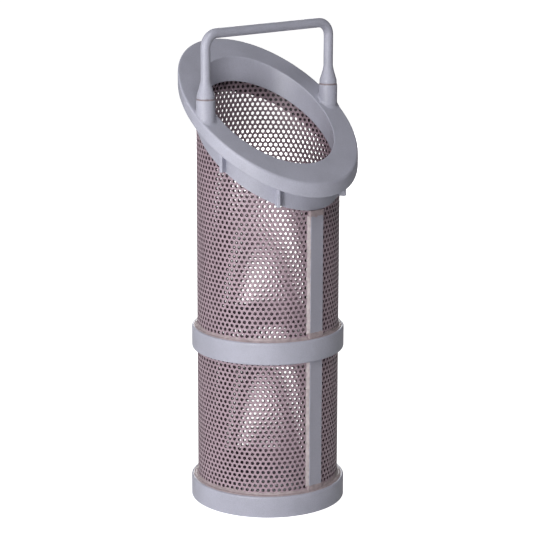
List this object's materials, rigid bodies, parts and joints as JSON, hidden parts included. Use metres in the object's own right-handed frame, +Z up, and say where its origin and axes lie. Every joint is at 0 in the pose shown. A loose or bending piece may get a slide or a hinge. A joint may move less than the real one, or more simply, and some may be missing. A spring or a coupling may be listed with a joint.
{
  "type": "basket strainer",
  "caption": "Perforated plastic strainer basket with an oblique seating flange, a middle band, a closed base and a fixed bail handle.",
  "frame": {"origin": "centre of the underside of the closed base", "axes": "+Z up the axis of the screen tube towards the handle; the oblique mouth slopes down towards -Y; the handle spans the mouth along X"},
  "size_m": [0.1576, 0.1576, 0.4277],
  "materials": {
    "grey_pvc": "satin grey PVC, solvent-welded",
    "perforated_sheet": "punched grey-mauve PVC sheet",
    "solvent_cement": "dried buff solvent cement"
  },
  "bodies": {
    "root": {"flange_ring": "grey_pvc", "collar": "grey_pvc", "rib_front_left": "grey_pvc", "rib_front_right": "grey_pvc", "rib_side_left": "grey_pvc", "rib_side_right": "grey_pvc", "boss_left": "grey_pvc", "boss_right": "grey_pvc", "handle": "grey_pvc", "handle_cement_left": "solvent_cement", "handle_cement_right": "solvent_cement", "screen_tube": "perforated_sheet", "seam_backing": "perforated_sheet", "seam_strip_upper": "grey_pvc", "seam_strip_lower": "grey_pvc", "seam_bead_upper": "solvent_cement", "seam_bead_lower": "solvent_cement", "middle_band": "grey_pvc", "middle_band_cement": "solvent_cement", "base_ring": "grey_pvc", "base_cement": "solvent_cement", "end_plate": "grey_pvc"}
  },
  "joints": []
}
